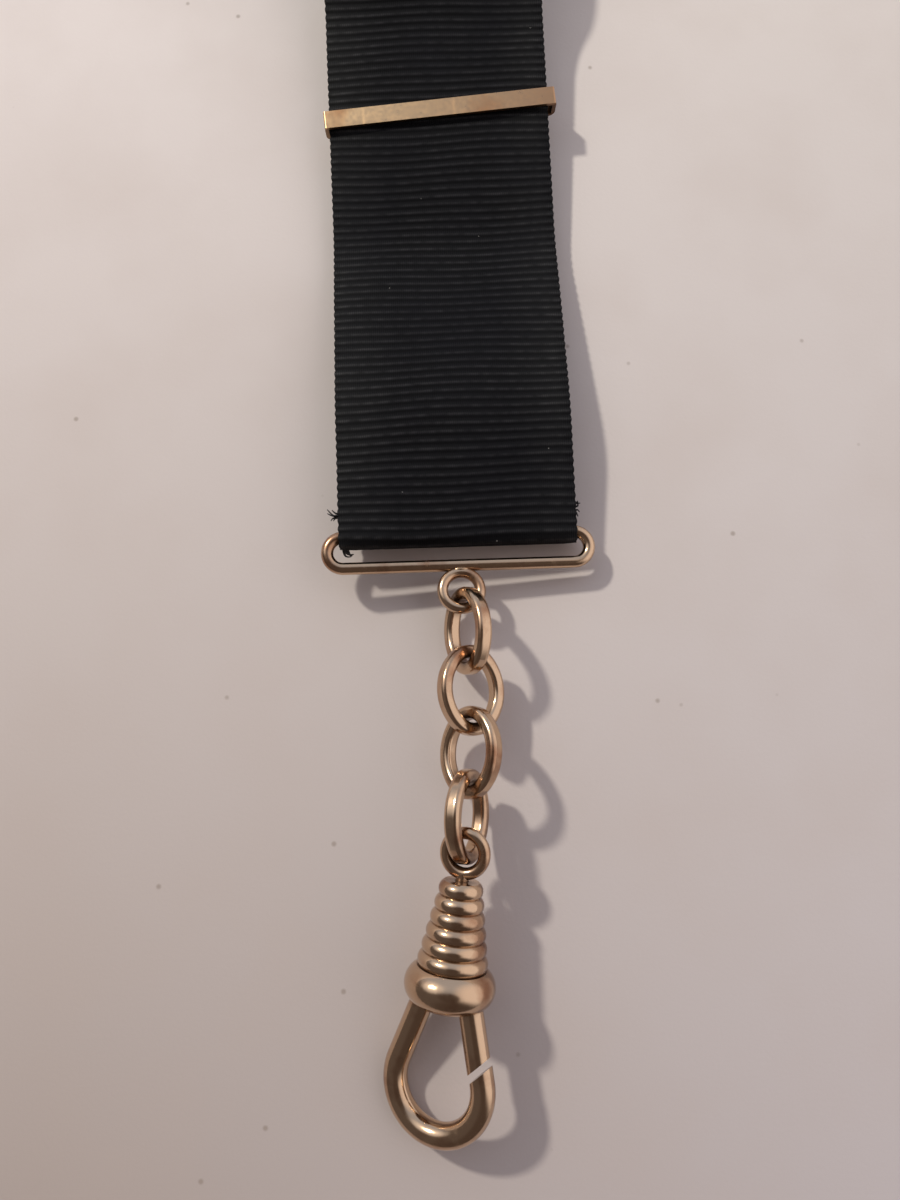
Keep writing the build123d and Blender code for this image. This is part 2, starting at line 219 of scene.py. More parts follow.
def new_material(name):
    """An empty material, its node tree, and its Principled shader."""
    material = bpy.data.materials.new(name)
    material.use_nodes = True
    tree = material.node_tree
    return material, tree, first_node(tree, "BSDF_PRINCIPLED")


def set_numbers(node, **values):
    """Numbers on a node's own sockets, where an underscore stands for a space."""
    for label, value in values.items():
        node.inputs[label.replace("_", " ")].default_value = value


def roughen(tree, shader, height, strength, depth):
    """Gives a material fine relief: a bump from a height, with a strength and a depth."""
    bump = add(tree, "Bump", {"Height": height, "Strength": strength, "Distance": depth})
    tree.links.new(bump.outputs["Normal"], shader.inputs["Normal"])


def new_group(name, inputs, outputs):
    """A node group with named number inputs and outputs."""
    tree = bpy.data.node_groups.new(name, "ShaderNodeTree")
    for label, value in inputs.items():
        socket = tree.interface.new_socket(label, in_out="INPUT", socket_type="NodeSocketFloat")
        socket.default_value = value
    for label in outputs:
        tree.interface.new_socket(label, in_out="OUTPUT", socket_type="NodeSocketFloat")
    return tree, tree.nodes.new("NodeGroupInput").outputs, tree.nodes.new("NodeGroupOutput").inputs


def use_group(tree, group, **values):
    """A group placed in a material, with its own values."""
    made = tree.nodes.new("ShaderNodeGroup")
    made.node_tree = group
    set_numbers(made, **values)
    return made


def paint(names, material):
    """Gives CAD nodes a material in place of the plain one they came with."""
    for name in names:
        mesh = nodes[name].data
        mesh.materials.clear()
        mesh.materials.append(material)


# %% [markdown]
# ## Paper
# The fob lies on a sheet of off-white paper. The paper is a plain grid; its tooth and its flecks
# are in the material, and so is a painted shade that darkens it towards its lower end and lower
# left.

# %% Paper sheet
PAPER_SIZE = 1.6

bm = bmesh.new()
bmesh.ops.create_grid(bm, x_segments=8, y_segments=8, size=PAPER_SIZE / 2)
paper_mesh = finished_mesh(bm, "paper")
paper = new_object("paper", paper_mesh)
print("paper is", PAPER_SIZE, "m wide")

# %% Paper tone
# The four corner colours are painted shade: the window light falls off towards the lower end, and
# the person with the camera casts a painted shadow over the lower left.
PAPER_UPPER_LEFT = srgb(240, 230, 227)
PAPER_UPPER_RIGHT = srgb(232, 223, 219)
PAPER_LOWER_LEFT = srgb(180, 166, 160)
PAPER_LOWER_RIGHT = srgb(203, 193, 194)
TONE_LEFT, TONE_RIGHT = -42 * MM, 42 * MM
TONE_LOW, TONE_HIGH = -78 * MM, 48 * MM

paper_material, tree, shader = new_material("paper")
place = object_place(tree)
parts = add(tree, "SeparateXYZ", {"Vector": place})
rightness = ranged(tree, parts.outputs["X"], TONE_LEFT, TONE_RIGHT)
upness = ranged(tree, parts.outputs["Y"], TONE_LOW, TONE_HIGH)
lower = blended(tree, rightness, PAPER_LOWER_LEFT, PAPER_LOWER_RIGHT)
upper = blended(tree, rightness, PAPER_UPPER_LEFT, PAPER_UPPER_RIGHT)
tone = blended(tree, upness, lower, upper)
print("paper tone runs over", round((TONE_HIGH - TONE_LOW) / MM), "mm")

# %% Paper detail
MOTTLE = srgb(196, 178, 168)
MOTTLE_SHARE = 0.16
FLECK = srgb(140, 122, 108)
FLECK_SHARE = 0.5
FLECKS_PER_METRE = 150.0
MOTTLE_SCALE, TOOTH_SCALE = 60.0, 2600.0
TOOTH_DEPTH = 0.05 * MM

mottle = noise(tree, place, MOTTLE_SCALE, 6.0)
tone = blended(tree, ranged(tree, mottle, 0.42, 0.7, 0.0, MOTTLE_SHARE), tone, MOTTLE)
fleck = speck_distance(tree, place, FLECKS_PER_METRE)
tone = blended(tree, ranged(tree, fleck, 0.05, 0.02, 0.0, FLECK_SHARE), tone, FLECK)
tree.links.new(tone, shader.inputs["Base Color"])
roughen(tree, shader, noise(tree, place, TOOTH_SCALE, 3.0), 0.25, TOOTH_DEPTH)
set_numbers(shader, Roughness=0.9, Specular_IOR_Level=0.2)
paper_mesh.materials.append(paper_material)
print("paper material has", len(tree.nodes), "nodes")

# %% [markdown]
# ## Light
# A window high on the left gives shadows that fall to the lower right, and the rest of the room
# fills them. A small round lamp stands for the window. Its size and its distance together decide
# how soft the edge of a shadow is, and the power makes up for the distance.

# %% Window
WINDOW_FROM = radians(45)             # to the left of straight up the ribbon
WINDOW_HEIGHT = radians(38)           # above the table
WINDOW_AWAY = 1.50
WINDOW_SIZE = 0.10
WINDOW_POWER = 14.0
WINDOW_COLOUR = (1.0, 0.968, 0.853)

window_data = bpy.data.lights.new("window", "AREA")
window_data.shape = "DISK"
window_data.size = WINDOW_SIZE
window_data.energy = WINDOW_POWER
window_data.color = WINDOW_COLOUR
window = new_object("window", window_data)
toward_window = Vector((
    -sin(WINDOW_FROM) * cos(WINDOW_HEIGHT),
    cos(WINDOW_FROM) * cos(WINDOW_HEIGHT),
    sin(WINDOW_HEIGHT),
))
window.location = toward_window * WINDOW_AWAY
window.rotation_mode = "QUATERNION"
window.rotation_quaternion = toward_window.to_track_quat("Z", "Y")
print("window stands", WINDOW_AWAY, "m away")

# %% [markdown]
# Polished metal shows the room, so the room is painted on the world as soft patches, each round
# one direction. It is dim but for a pale wall on the right, which polished wires show along
# their right sides. Whoever holds the camera stands at the fob's lower end and leans over it, so
# it is dark straight above and on that side, and the wires carry a dark line along their middles.

# %% Room values
WALLS = (0.14, 0.12, 0.115, 1)
BACK = (0.55, 0.60, 0.72, 1)
BRIGHT_SIDE = (1.05, 0.98, 0.98, 1)
WINDOW_GLOW = (1.0, 1.0, 1.05, 1)
PERSON = (0.10, 0.078, 0.07, 1)
SEEN = (0.80, 0.76, 0.74, 1)

# Each patch: its direction, the degrees within which it is full and beyond which it is gone,
# and its colour. A later patch lies over the ones before it.
ROOM_PATCHES = [
    ((0.1, 1.0, 0.35), 25, 75, BACK),
    ((0.95, 0.05, 0.42), 22, 62, BRIGHT_SIDE),
    (toward_window, 8, 34, WINDOW_GLOW),
    (-forward, 16, 30, PERSON),
    ((0.05, -0.9, 0.45), 18, 50, PERSON),
]
print("the room has", len(ROOM_PATCHES), "patches")

# %% Room
world = bpy.data.worlds.new("room")
bpy.context.scene.world = world
world.use_nodes = True
tree = world.node_tree
way = add(tree, "TexCoord").outputs["Generated"]


def nearness(direction, near, far):
    """1 within near degrees of a direction, 0 beyond far degrees of it."""
    toward_it = Vector(direction).normalized()
    inputs = {0: way, 1: toward_it}
    dot = add(tree, "VectorMath", inputs, operation="DOT_PRODUCT").outputs["Value"]
    return ranged(tree, dot, cos(radians(far)), cos(radians(near)), smooth=True)


room = WALLS
for direction, near, far, colour in ROOM_PATCHES:
    room = blended(tree, nearness(direction, near, far), room, colour)
seen_by_camera = add(tree, "LightPath").outputs["Is Camera Ray"]
background = first_node(tree, "BACKGROUND")
tree.links.new(blended(tree, seen_by_camera, room, SEEN), background.inputs["Color"])

bpy.context.scene.view_settings.view_transform = "Standard"
print("the world has", len(tree.nodes), "nodes")

# %% [markdown]
# ## Ribbon
# The ribbon is one strip of black grosgrain: stout cords lie across it, and fine yarns run the
# length of it over and under them, so it is all crosswise ribs. A picture of ribs would vanish
# at the edges, so the strip is modelled flat with its ribs as real thickness, and then laid
# along its path: round the ring, up the front, round the hanging loop, and down the back.

# %% Ribbon values
RIBBON_W = 24.0 * MM
RIBBON_T = 0.45 * MM
FOLD_GAP = 0.2 * MM
FOLD_EASE = 0.03 * MM                 # keeps the two arcs of the fold from meeting
LANE_START = 33.0 * MM
LANE_END = 60.0 * MM
LANE_SLOPE = 0.09
LANE_Z = 1.95 * MM
LAYER_PITCH = 0.65 * MM
SWELL = (13.0 * MM, 4.65 * MM)
LOOP_PEAK = (69.0 * MM, 8.15 * MM)
LOOP_END = (84.0 * MM, 6.6 * MM)
LOOP_R = 3.0 * MM
LOOP_FOOT_Y = 71.0 * MM
TAB_END = (12.0 * MM, 0.85 * MM)
RAW_END_Y = 3.5 * MM
LAP_PITCH = 0.52 * MM
LAP_FOOT_Y = (16.0 * MM, 12.5 * MM)
RING_Z = 2.8 * MM
RING_ROLL = radians(3.5)

FRONT_BENDS = (30, 20, 25, 20)        # millimetres, from the swell to the hanging loop
BACK_BENDS = (12, 12, 12, 10, 16)     # and from the loop's foot to the raw end

fold_r = RING_WIRE_R + FOLD_GAP + RIBBON_T / 2
fold_bend = fold_r - FOLD_EASE
floor_z = RIBBON_T / 2
print("the ribbon folds round the bar at a radius of", round(fold_r / MM, 3), "mm")


# %% Path of the strip
def bar_z(x):
    """Height of the middle of the ring's upper bar at x."""
    return RING_Z - x * tan(RING_ROLL)


def lane_z(y, back=False):
    """Height of a layer where the two run side by side."""
    return LANE_Z - (LAYER_PITCH if back else 0) + LANE_SLOPE * (y - LANE_START)


def tab_z(x, y):
    """Height of the turned-back end between its tip and the fold."""
    fold_low = bar_z(x) - fold_r
    return TAB_END[1] - (TAB_END[1] - fold_low) / (TAB_END[0] + fold_r) * (TAB_END[0] - y)


def strip_corners(x):
    """Corners (y, z) of the strip's middle line at x, and the radius at each bend."""
    corners = [
        TAB_END,
        (-fold_r, bar_z(x) - fold_r),
        (-fold_r, bar_z(x) + fold_r),
        SWELL,
        (LANE_START, lane_z(LANE_START)),
        (LANE_END, lane_z(LANE_END)),
        LOOP_PEAK,
        LOOP_END,
        (LOOP_END[0], floor_z),
        (LOOP_FOOT_Y, floor_z),
        (LANE_END, lane_z(LANE_END, back=True)),
        (LANE_START, lane_z(LANE_START, back=True)),
        (LAP_FOOT_Y[0], floor_z),
        (LAP_FOOT_Y[1], floor_z),
        (RAW_END_Y, tab_z(x, RAW_END_Y) - LAP_PITCH),
    ]
    front = [radius * MM for radius in FRONT_BENDS]
    back = [radius * MM for radius in BACK_BENDS]
    bends = [fold_bend] * 2 + front + [LOOP_R] * 2 + back
    return [Vector(corner) for corner in corners], bends


def rounded(corners, bends, steps=24):
    """Points along a path of straight runs, with an arc at each corner."""
    points = [corners[0]]
    for before, corner, after, bend in zip(corners, corners[1:], corners[2:], bends):
        come = (corner - before).normalized()
        leave = (after - corner).normalized()
        turn_by = atan2(come.x * leave.y - come.y * leave.x, come.dot(leave))
        start = corner - come * bend * tan(abs(turn_by) / 2)
        side = 1 if turn_by > 0 else -1
        centre = start + Vector((-come.y, come.x)) * bend * side
        arm = start - centre
        for step in range(steps + 1):
            angle = turn_by * step / steps
            arm_y = arm.x * cos(angle) - arm.y * sin(angle)
            arm_z = arm.x * sin(angle) + arm.y * cos(angle)
            points.append(centre + Vector((arm_y, arm_z)))
    points.append(corners[-1])
    return np.array([tuple(point) for point in points])


def run_along(points):
    """Length along a path at each of its points."""
    steps = np.linalg.norm(np.diff(points, axis=0), axis=1)
    return np.concatenate([[0], np.cumsum(steps)])


strip_length = float(run_along(rounded(*strip_corners(0.0)))[-1])
print("the strip is", round(strip_length / MM, 1), "mm long before it is folded")

# %% [markdown]
# The flat strip starts as one grid, eight rows to a rib. Solidify gives it a second face and
# rims, which makes it a closed thin slab that can be bent like cloth. From here on each point
# knows only three things: how far across the strip it is, how far along, and on which face.

# %% Flat strip
RIB_PITCH = 0.87 * MM
ROWS_PER_RIB = 8
COLUMNS = 18

rib_count = round(strip_length / RIB_PITCH)
bm = bmesh.new()
bmesh.ops.create_grid(bm, x_segments=COLUMNS, y_segments=rib_count * ROWS_PER_RIB, size=0.5)
bmesh.ops.solidify(bm, geom=bm.faces[:], thickness=1.0)
bmesh.ops.recalc_face_normals(bm, faces=bm.faces[:])
ribbon_mesh = finished_mesh(bm, "ribbon_cloth", smooth=True)

flat = np.zeros(len(ribbon_mesh.vertices) * 3)
ribbon_mesh.vertices.foreach_get("co", flat)
flat = flat.reshape(-1, 3)
across = flat[:, 0] * 2               # -1 at the left edge, 1 at the right
along = flat[:, 1] + 0.5              # 0 at the turned-back end, 1 at the raw end
face_side = np.where(flat[:, 2] > flat[:, 2].mean(), 1.0, -1.0)
print(rib_count, "ribs,", len(ribbon_mesh.polygons), "faces")

# %% [markdown]
# No rib is quite straight: each wanders by a part of the pitch. Slow waves over the strip do
# that, and others make the edges run a little unevenly.

# %% Uneven ribs
WANDER = 0.22                         # share of a pitch
RIB_WAVES = [(0.6, 2.1, 29.0, 0.0), (0.4, 4.7, -53.0, 1.0)]
EDGE_WAVES = [(0.5, 0.0, 37.0, 0.6), (0.35, 0.4, 91.0, 0.0)]


def waves(terms):
    """Sine waves added up, each a height, its rates across and along, and its start."""
    total = np.zeros(len(flat))
    for height, across_rate, along_rate, start in terms:
        total += height * np.sin(across * across_rate + along * along_rate + start)
    return total


rib_count_here = along * rib_count + waves(RIB_WAVES) * WANDER

corner_vertex = np.zeros(len(ribbon_mesh.loops), dtype=np.int32)
ribbon_mesh.loops.foreach_get("vertex_index", corner_vertex)
uv_layer = ribbon_mesh.uv_layers.new(name="strip")
uv_pairs = np.stack([across / 2 + 0.5, rib_count_here], axis=1)[corner_vertex]
uv_layer.data.foreach_set("uv", uv_pairs.ravel())
print("UV map counts the ribs up to", round(float(rib_count_here.max()), 1))

# %% Thickness and edges
RIB_DEPTH = 0.4                       # share of the thickness that a groove takes
RIB_SHARPNESS = 1.3
EDGE_FROM = 0.86                      # where the edge begins, from the middle at 0
EDGE_THINNING = 0.35
SCALLOP = 0.1 * MM
SCALLOP_MIDDLE = 0.8
EDGE_WAVE = 0.02 * MM

half_width = RIBBON_W / 2
swell_of_rib = np.abs(np.sin(rib_count_here * pi)) ** RIB_SHARPNESS
edge_nearness = np.clip((np.abs(across) - EDGE_FROM) / (1 - EDGE_FROM), 0, 1)
thickness = RIBBON_T * (1 - RIB_DEPTH * (1 - swell_of_rib))
thickness *= 1 - EDGE_THINNING * edge_nearness ** 3

proud = SCALLOP * (swell_of_rib - SCALLOP_MIDDLE) + EDGE_WAVE * waves(EDGE_WAVES)
side_x = across * half_width + np.sign(across) * edge_nearness * proud
thinnest, thickest = thickness.min() / MM, thickness.max() / MM
print("ribbon is", thinnest.round(2), "to", thickest.round(2), "mm thick")

# %% [markdown]
# Laying the strip: the path is worked out at a row of places across the ribbon, because the ring
# lies a little tipped and its left end lifts the ribbon's left edge. Each point takes its place
# and its slope from the two paths beside it, and then stands off them by half the thickness.

# %% Paths across the strip
PATHS = 13
SLOPE_STEP = 0.0008                   # share of the length between two places that give a slope

tracks = []
for station in np.linspace(-half_width, half_width, PATHS):
    line = rounded(*strip_corners(float(station)))
    length = run_along(line)
    tracks.append((length / length[-1], line))


def on_track(track, share):
    """Places (y, z) along one path, and the slope there, at shares of its length."""
    lengths, line = track

    def place_at(where):
        """Places at these shares of the length."""
        return np.stack([np.interp(where, lengths, line[:, axis]) for axis in (0, 1)], axis=1)

    ahead = place_at(np.clip(share + SLOPE_STEP, 0, 1))
    behind = place_at(np.clip(share - SLOPE_STEP, 0, 1))
    slope = ahead - behind
    return place_at(share), slope / np.linalg.norm(slope, axis=1, keepdims=True)


print(PATHS, "paths of", len(line), "points")

# %% Lay the strip
column = np.clip((side_x + half_width) / RIBBON_W, 0, 1) * (PATHS - 1)
lower_column = np.minimum(column.astype(int), PATHS - 2)
part_way = (column - lower_column)[:, None]
spots = np.zeros((len(flat), 2))
slopes = np.zeros((len(flat), 2))
for index in range(PATHS - 1):
    chosen = lower_column == index
    near_spot, near_slope = on_track(tracks[index], along[chosen])
    far_spot, far_slope = on_track(tracks[index + 1], along[chosen])
    share = part_way[chosen]
    spots[chosen] = near_spot * (1 - share) + far_spot * share
    slopes[chosen] = near_slope * (1 - share) + far_slope * share
slopes /= np.linalg.norm(slopes, axis=1, keepdims=True)

outward = np.stack([-slopes[:, 1], slopes[:, 0]], axis=1)
laid = spots + outward * (face_side * thickness / 2)[:, None]
placed = np.stack([side_x, laid[:, 0] + bar_y, laid[:, 1]], axis=1)
ribbon_mesh.vertices.foreach_set("co", placed.ravel())
ribbon_mesh.update()
ribbon_cloth = new_object("ribbon_cloth", ribbon_mesh)
print("ribbon spans", placed.min(0).round(4), placed.max(0).round(4))

# %% [markdown]
# A closed mesh whose faces look outward has a volume above zero, so the volume tells whether the
# bending has turned the slab inside out.

# %% Check which way its faces look
bm = bmesh.new()
bm.from_mesh(ribbon_mesh)
print("ribbon volume", round(bm.calc_volume(signed=True) * 1e9, 1), "mm3")
bm.free()

# %% [markdown]
# Grosgrain is dull black, and each rib carries a painted highlight: a faint lighter line along its
# crest, broken up by the yarns that pass over it. Both edges are a little greyer than the middle.
# The strip's UV map counts the ribs, so a sine of it rises and falls with every rib.

# %% Grosgrain ribs and yarns
YARNS = 110
CLOTH_SCALE, SLOW_SCALE = 900.0, 120.0

grosgrain, tree, shader = new_material("grosgrain")
uv = add(tree, "UVMap", uv_map="strip").outputs["UV"]
uv_parts = add(tree, "SeparateXYZ", {"Vector": uv})
place = object_place(tree)


def ridges(value, rate):
    """A row of round ridges, from 0 to 1, as a value grows across them."""
    swing = combined(tree, "SINE", combined(tree, "MULTIPLY", value, rate))
    return combined(tree, "ABSOLUTE", swing)


rib_top = ridges(uv_parts.outputs["Y"], pi)
yarn_top = ridges(uv_parts.outputs["X"], pi * YARNS)
cloth_noise = noise(tree, place, CLOTH_SCALE, 3.0)
slow_noise = noise(tree, place, SLOW_SCALE, 2.0)
print(YARNS, "yarns across the ribbon")

# %% Grosgrain colour
RIB_HIGHLIGHT_POWER = 7.0                        # the power that narrows the lighter line on a rib
MIDDLE_GROOVE, EDGE_GROOVE = srgb(9, 9, 12), srgb(23, 23, 24)
# The crest colours are the painted highlight on each rib; the groove colours are the cloth's own
# black.
MIDDLE_CREST_HIGHLIGHT, EDGE_CREST_HIGHLIGHT = srgb(50, 49, 52), srgb(66, 65, 66)
BLUE_BLACK = srgb(14, 14, 20)

# The lighter line on each crest is a painted highlight, narrowed by a power and broken up by the
# yarns and the cloth noise.
rib_highlight_line = combined(tree, "POWER", rib_top, RIB_HIGHLIGHT_POWER)
rib_highlight = combined(tree, "MULTIPLY", rib_highlight_line, ranged(tree, yarn_top, 0.1, 0.9, 0.45, 1.0))
rib_highlight = combined(tree, "MULTIPLY", rib_highlight, ranged(tree, cloth_noise, 0.32, 0.68, 0.25, 1.0))
# Greyer towards both edges of the ribbon.
off_middle = combined(tree, "SUBTRACT", uv_parts.outputs["X"], 0.5)
toward_edges = ranged(tree, combined(tree, "ABSOLUTE", off_middle), 0.24, 0.48)
groove = blended(tree, toward_edges, MIDDLE_GROOVE, EDGE_GROOVE)
crest_highlight = blended(tree, toward_edges, MIDDLE_CREST_HIGHLIGHT, EDGE_CREST_HIGHLIGHT)
black = blended(tree, rib_highlight, groove, crest_highlight)
black = blended(tree, ranged(tree, slow_noise, 0.35, 0.65, 0.0, 0.4), black, BLUE_BLACK)
print("grosgrain colour takes", len(tree.nodes), "nodes so far")

# %% [markdown]
# A black cloth shows every speck of lint. Only a few of the scattered points get one, where the
# cloth's own noise is high, and each is a fifth of a rib wide.

# %% Lint and finish
LINT = srgb(128, 126, 124)
LINT_PER_METRE = 330.0
LINT_SIZE = 0.03                      # radius, as a share of the pitch between the points
LINT_WHERE = 0.52
WEAVE_DEPTH = 0.06 * MM

lint = combined(tree, "LESS_THAN", speck_distance(tree, place, LINT_PER_METRE), LINT_SIZE)
lint = combined(tree, "MULTIPLY", lint, combined(tree, "GREATER_THAN", cloth_noise, LINT_WHERE))
black = blended(tree, lint, black, LINT)
tree.links.new(black, shader.inputs["Base Color"])
yarn_height = combined(tree, "MULTIPLY", yarn_top, 0.6)
cloth_height = combined(tree, "MULTIPLY", cloth_noise, 0.4)
roughen(tree, shader, combined(tree, "ADD", yarn_height, cloth_height), 0.7, WEAVE_DEPTH)
set_numbers(
    shader, Roughness=0.72, Specular_IOR_Level=0.09, Sheen_Weight=0.02, Sheen_Roughness=0.5
)
ribbon_mesh.materials.append(grosgrain)
print("grosgrain has", len(tree.nodes), "nodes")

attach(ribbon_cloth, "root")
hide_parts("ribbon")

# %% [markdown]
# ## Stitches
# A row of stitches holds the lapped ends. Each is a closed loop of thread that goes through both:
# a small circle of thread is spun into a ring, and the ring is then pulled square and as tall as
# the two layers are thick. The thread's wave texture is the twist of its strands.

# %% Thread
THREAD_DARK, THREAD_LIGHT = srgb(18, 18, 20), srgb(52, 50, 52)
TWIST_SCALE = 1400.0
TWIST_DEPTH = 0.03 * MM

thread_material, tree, shader = new_material("black_thread")
inputs = {"Vector": object_place(tree), "Scale": TWIST_SCALE, "Distortion": 1.0}
twist = add(tree, "TexWave", inputs, bands_direction="DIAGONAL").outputs["Fac"]
tree.links.new(blended(tree, twist, THREAD_DARK, THREAD_LIGHT), shader.inputs["Base Color"])
roughen(tree, shader, twist, 0.6, TWIST_DEPTH)
set_numbers(shader, Roughness=0.7)
print("thread has", len(tree.nodes), "nodes")

# %% Stitches
STITCH_Y = 6.4 * MM
STITCH_COUNT = 8
STITCH_PITCH = 2.8 * MM
STITCH_LEN = 1.7 * MM
THREAD_R = 0.13 * MM
SQUARENESS = 0.2                      # 0 leaves the loop round


def pulled_square(place, tallness):
    """Where a point of a round loop of thread goes when the loop is pulled square and tall."""
    angle = atan2(place.z, place.x)
    centre_line = Vector((cos(angle), 0, sin(angle))) * STITCH_LEN / 2
    offset = place - centre_line
    centre_line.z *= tallness
    return centre_line / max(abs(cos(angle)), abs(sin(angle))) ** SQUARENESS + offset


bm = bmesh.new()
for index in range(STITCH_COUNT):
    x = (index - (STITCH_COUNT - 1) / 2) * STITCH_PITCH
    top = tab_z(x, STITCH_Y) + RIBBON_T / 2
    low = tab_z(x, STITCH_Y) - LAP_PITCH - RIBBON_T / 2 + THREAD_R
    thread = bmesh.ops.create_circle(bm, segments=8, radius=THREAD_R)["verts"]
    to_side = Matrix.Translation((STITCH_LEN / 2, 0, 0))
    bmesh.ops.transform(bm, matrix=to_side, verts=thread)
    edges = list({edge for vert in thread for edge in vert.link_edges})
    bmesh.ops.spin(
        bm, geom=edges, cent=(0, 0, 0), axis=(0, 1, 0), angle=2 * pi, steps=28, use_merge=True
    )
    for vert in bm.verts:
        if not vert.tag:
            vert.co = pulled_square(vert.co, (top - low) / STITCH_LEN)
            vert.co += Vector((x, STITCH_Y + bar_y, (top + low) / 2))
            vert.tag = True
bmesh.ops.recalc_face_normals(bm, faces=bm.faces[:])
stitch_mesh = finished_mesh(bm, "stitches", smooth=True)
stitch_mesh.materials.append(thread_material)
stitches = new_object("stitches", stitch_mesh)
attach(stitches, "root")
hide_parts("end_stitches")
print(STITCH_COUNT, "stitches")

# %% [markdown]
# The strip's cut end lies behind the fold, and its yarns have worked loose at both edges. Each
# loose yarn is a thin tapering curve, which is the simplest way to make hair and thread: a few
# points, a round bevel, and a radius at each point.

# %% Loose yarns
YARN_R = 0.13 * MM
YARN_ROOT = 1.25                      # times the radius at the first point
YARN_TAPER = 0.3                      # less at each point after it
LOOSE_YARNS = [
    [(-11.7, 2.7, 2.0), (-12.4, 2.5, 2.1), (-12.9, 2.8, 2.3), (-13.3, 3.3, 2.4)],
    [(-11.7, 2.8, 2.0), (-12.4, 2.6, 2.3), (-12.9, 2.6, 2.5), (-13.3, 2.9, 2.3)],
    [(-11.7, 2.5, 2.1), (-12.3, 2.4, 2.2), (-12.8, 2.5, 2.1), (-13.0, 2.2, 2.0)],
    [(-11.7, 2.9, 2.0), (-12.1, 2.8, 2.2), (-12.6, 2.9, 2.4), (-12.8, 3.2, 2.5)],
    [(-11.7, 2.4, 1.9), (-12.2, 2.5, 2.0), (-12.6, 2.4, 2.2), (-12.7, 2.1, 2.3)],
    [(11.7, 3.0, 1.6), (12.2, 3.2, 1.8), (12.4, 2.9, 1.9), (12.7, 3.0, 1.8)],
    [(11.7, 2.7, 1.6), (12.3, 2.6, 1.8), (12.5, 2.8, 1.9), (12.4, 3.2, 2.0)],
    [(11.7, 2.3, 1.7), (12.1, 2.2, 1.8), (12.4, 2.4, 1.7), (12.6, 2.1, 1.6)],
    [(11.7, 2.0, 1.7), (12.1, 2.1, 1.9), (12.3, 1.9, 1.8), (12.4, 1.6, 1.7)],
    [(-11.6, -0.9, 2.9), (-11.5, -1.4, 2.7), (-11.1, -1.6, 2.5), (-10.7, -1.5, 2.4)],
    [(-11.7, -0.9, 2.8), (-11.7, -1.5, 2.6), (-11.4, -1.8, 2.4), (-11.0, -1.7, 2.2)],
    [(-11.3, -1.0, 2.8), (-11.2, -1.5, 2.5), (-10.9, -1.7, 2.3), (-10.9, -1.4, 2.1)],
]

yarn_curve = bpy.data.curves.new("loose_yarns", "CURVE")
yarn_curve.dimensions = "3D"
yarn_curve.bevel_depth = YARN_R
yarn_curve.bevel_resolution = 2
yarn_curve.use_fill_caps = True
for points in LOOSE_YARNS:
    spline = yarn_curve.splines.new("NURBS")
    spline.points.add(len(points) - 1)
    for index, (x, y, z) in enumerate(points):
        spline.points[index].co = (x * MM, y * MM + bar_y, z * MM, 1)
        spline.points[index].radius = YARN_ROOT - YARN_TAPER * index
    spline.order_u = 3
    spline.use_endpoint_u = True
    spline.resolution_u = 8
yarn_curve.materials.append(thread_material)
loose_yarns = new_object("loose_yarns", yarn_curve)
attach(loose_yarns, "root")
print(len(LOOSE_YARNS), "loose yarns")

# %% [markdown]
# ## Gilt metal
# The metal is rolled gold with a rose tint. Years of handling left it bright on the tops and
# brownish in patches, with hair scratches. Both effects are groups, since every metal material
# uses them with its own values. The first group puts out the patches and a fine unevenness.

# %% Tarnish group
PATCH_FADE = 0.18                     # how much the noise rises from bright to tarnished
FINE_SCALE = 2400.0

tarnish, out, into = new_group("tarnish", {"Patch Size": 260.0, "Spread": 0.5}, ["Mask", "Fine"])
place = object_place(tarnish)
patches = noise(tarnish, place, out["Patch Size"], 5.0)
edge = combined(tarnish, "SUBTRACT", 0.75, combined(tarnish, "MULTIPLY", out["Spread"], 0.5))
rise = combined(tarnish, "DIVIDE", combined(tarnish, "SUBTRACT", patches, edge), PATCH_FADE)
tarnish.links.new(add(tarnish, "Clamp", {"Value": rise}).outputs[0], into["Mask"])
tarnish.links.new(noise(tarnish, place, FINE_SCALE, 3.0), into["Fine"])
print("tarnish has", len(tarnish.nodes), "nodes")

# %% [markdown]
# A hair scratch is noise pulled long in one direction and cut off so high that only thin streaks
# are left. Two sets cross each other.

# %% Scratch group
SCRATCH_TURNS = ((20, 35), (-50, 110))    # degrees about x and z
SCRATCH_PULL = (1.0, 0.06, 0.35)          # a small scale makes the noise long that way
SCRATCH_FROM, SCRATCH_FULL = 0.64, 0.72

scratches, out, into = new_group(
    "scratches", {"Scale": 700.0, "Amount": 0.5}, ["Height", "Mask"]
)
place = object_place(scratches)
lines = []
for turn_x, turn_z in SCRATCH_TURNS:
    turned_by = (radians(turn_x), 0.3, radians(turn_z))
    inputs = {"Vector": place, "Rotation": turned_by, "Scale": SCRATCH_PULL}
    turned = add(scratches, "Mapping", inputs).outputs[0]
    streak = noise(scratches, turned, out["Scale"], 2.0)
    lines.append(ranged(scratches, streak, SCRATCH_FROM, SCRATCH_FULL))
both = combined(scratches, "MAXIMUM", *lines)
worn = combined(scratches, "MULTIPLY", both, out["Amount"])
scratches.links.new(worn, into["Mask"])
scratches.links.new(combined(scratches, "MULTIPLY", worn, -1.0), into["Height"])
print("scratches has", len(scratches.nodes), "nodes")

# %% [markdown]
# One function makes every metal here. Besides the two groups it finds the sheltered places with
# ambient occlusion, which is low between ribs and where links touch. There it paints the colour
# brown and dark, a painted shade, and makes the metal rougher. A thin clear coat adds a sharp
# glint over the softer shine of the metal.

